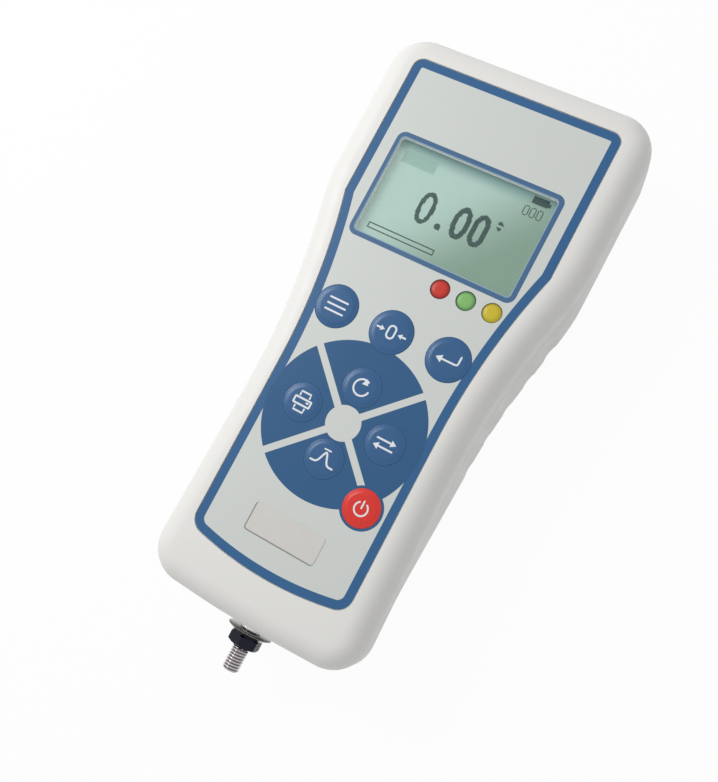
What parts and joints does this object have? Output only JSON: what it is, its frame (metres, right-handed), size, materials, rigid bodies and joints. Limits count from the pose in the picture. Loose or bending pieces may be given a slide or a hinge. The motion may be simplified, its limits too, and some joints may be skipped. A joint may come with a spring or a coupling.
{
  "type": "force gauge",
  "caption": "Hand-held digital push-pull force gauge with a display, round keys and a threaded sensing stud.",
  "frame": {"origin": "middle of the overall footprint, on the flat back face", "axes": "+Z out of the display, +Y along the body towards the display end, the sensing stud points along -Y, X across"},
  "size_m": [0.0956, 0.222, 0.0402],
  "materials": {
    "housing": "fine satin, light ivory white",
    "overlay": "smooth printed film, light grey",
    "key_blue": "smooth embossed film, mid blue",
    "key_red": "smooth embossed film, red",
    "lens_red": "translucent",
    "lens_green": "translucent",
    "lens_yellow": "translucent",
    "window": "clear, polished",
    "display": "grey-green liquid crystal",
    "white_plastic": "diffusing white",
    "plated_steel": "plated sheet",
    "board": "green solder mask",
    "screw_steel": "zinc plated",
    "black_plastic": "moulded black",
    "cell_aluminium": "machined",
    "flex": "amber film",
    "brass": "turned",
    "battery_wrap": "shrink wrap",
    "chrome": "polished",
    "nut_black": "blue-black finish"
  },
  "bodies": {
    "body": {"front_shell": "housing", "rear_shell": "housing", "panel_overlay": "overlay", "led_red": "lens_red", "led_green": "lens_green", "led_yellow": "lens_yellow", "display_window": "window", "display_bezel": "plated_steel", "display_glass": "display", "display_backlight": "white_plastic", "main_board": "board", "key_switches": "plated_steel", "board_screws": "screw_steel", "sounder": "black_plastic", "data_port": "plated_steel", "power_jack": "black_plastic", "load_cell": "cell_aluminium", "load_cell_bracket": "cell_aluminium", "load_cell_bolt": "screw_steel", "bracket_screws": "screw_steel", "load_cell_lead": "flex", "shaft_bush": "brass", "battery_pack": "battery_wrap", "stand_inserts": "brass", "case_screws": "screw_steel"},
    "key_menu": {"key_menu": "key_blue"},
    "key_zero": {"key_zero": "key_blue"},
    "key_enter": {"key_enter": "key_blue"},
    "key_reset": {"key_reset": "key_blue"},
    "key_print": {"key_print": "key_blue"},
    "key_unit": {"key_unit": "key_blue"},
    "key_mode": {"key_mode": "key_blue"},
    "key_power": {"key_power": "key_red"},
    "shaft": {"sensing_shaft": "chrome", "shaft_collar": "chrome"},
    "nut": {"lock_nut": "nut_black"}
  },
  "joints": [
    {"name": "key_menu_press", "type": "slide", "parent": "body", "child": "key_menu", "axis": [0, 0, -1], "range_m": [0, 0.0005], "stiffness_N_per_m": 1200},
    {"name": "key_zero_press", "type": "slide", "parent": "body", "child": "key_zero", "axis": [0, 0, -1], "range_m": [0, 0.0005], "stiffness_N_per_m": 1200},
    {"name": "key_enter_press", "type": "slide", "parent": "body", "child": "key_enter", "axis": [0, 0, -1], "range_m": [0, 0.0005], "stiffness_N_per_m": 1200},
    {"name": "key_reset_press", "type": "slide", "parent": "body", "child": "key_reset", "axis": [0, 0, -1], "range_m": [0, 0.0005], "stiffness_N_per_m": 1200},
    {"name": "key_print_press", "type": "slide", "parent": "body", "child": "key_print", "axis": [0, 0, -1], "range_m": [0, 0.0005], "stiffness_N_per_m": 1200},
    {"name": "key_unit_press", "type": "slide", "parent": "body", "child": "key_unit", "axis": [0, 0, -1], "range_m": [0, 0.0005], "stiffness_N_per_m": 1200},
    {"name": "key_mode_press", "type": "slide", "parent": "body", "child": "key_mode", "axis": [0, 0, -1], "range_m": [0, 0.0005], "stiffness_N_per_m": 1200},
    {"name": "key_power_press", "type": "slide", "parent": "body", "child": "key_power", "axis": [0, 0, -1], "range_m": [0, 0.0005], "stiffness_N_per_m": 1200},
    {"name": "shaft_give", "type": "slide", "parent": "body", "child": "shaft", "axis": [0, 1, 0], "range_m": [-0.0003, 0.0003], "stiffness_N_per_m": 20000},
    {"name": "nut_spin", "type": "hinge", "parent": "shaft", "child": "nut", "pos_m": [0, -0.09975, 0.02], "axis": [0, 1, 0], "continuous": true}
  ]
}
